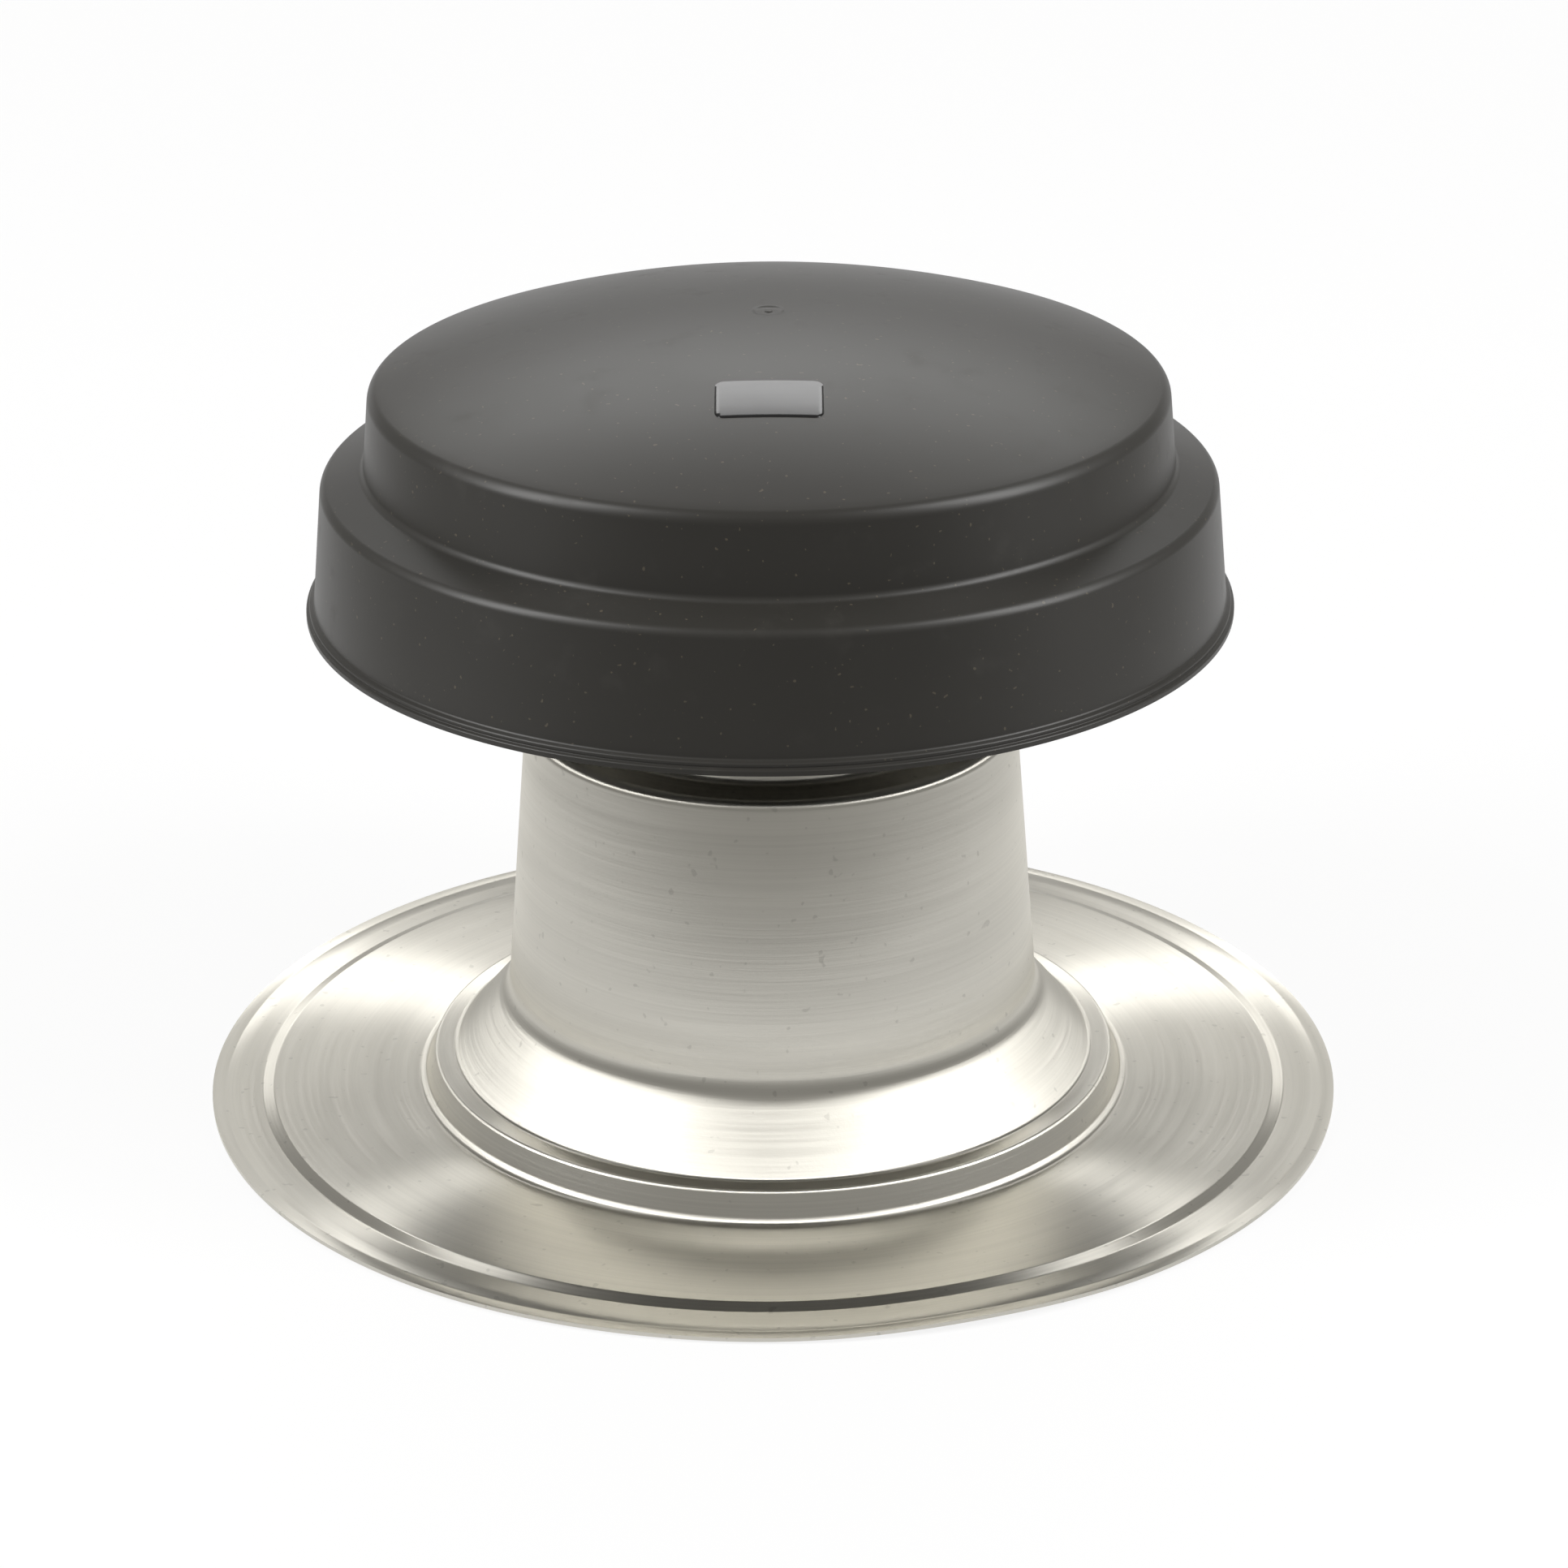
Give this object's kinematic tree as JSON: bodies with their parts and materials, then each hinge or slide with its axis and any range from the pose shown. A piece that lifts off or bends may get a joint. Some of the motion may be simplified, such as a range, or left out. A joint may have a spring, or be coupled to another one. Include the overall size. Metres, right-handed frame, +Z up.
{
  "type": "flat roof vent",
  "caption": "Flat roof exhaust vent: spun aluminium flange, flared base and tapered neck under a stepped black moulded rain cap.",
  "frame": {"origin": "centre of the flange's underside, where it rests on the roof", "axes": "+Z up along the vent's axis; -Y towards the side with the bare plate on the dome; +X to its right"},
  "size_m": [0.43, 0.43, 0.3051],
  "materials": {
    "spun_aluminium": "satin",
    "cap_plastic": "satin",
    "bracket_steel": "satin",
    "rivet_aluminium": "satin",
    "fastener_steel": "bright",
    "guard_plastic": "matte"
  },
  "bodies": {
    "root": {"spun_base": "spun_aluminium", "rain_cap": "cap_plastic", "rear_bracket": "bracket_steel", "left_bracket": "bracket_steel", "right_bracket": "bracket_steel", "bracket_rivets": "rivet_aluminium", "cap_screws": "fastener_steel", "cap_washers": "fastener_steel", "bird_guard": "guard_plastic"}
  },
  "joints": []
}
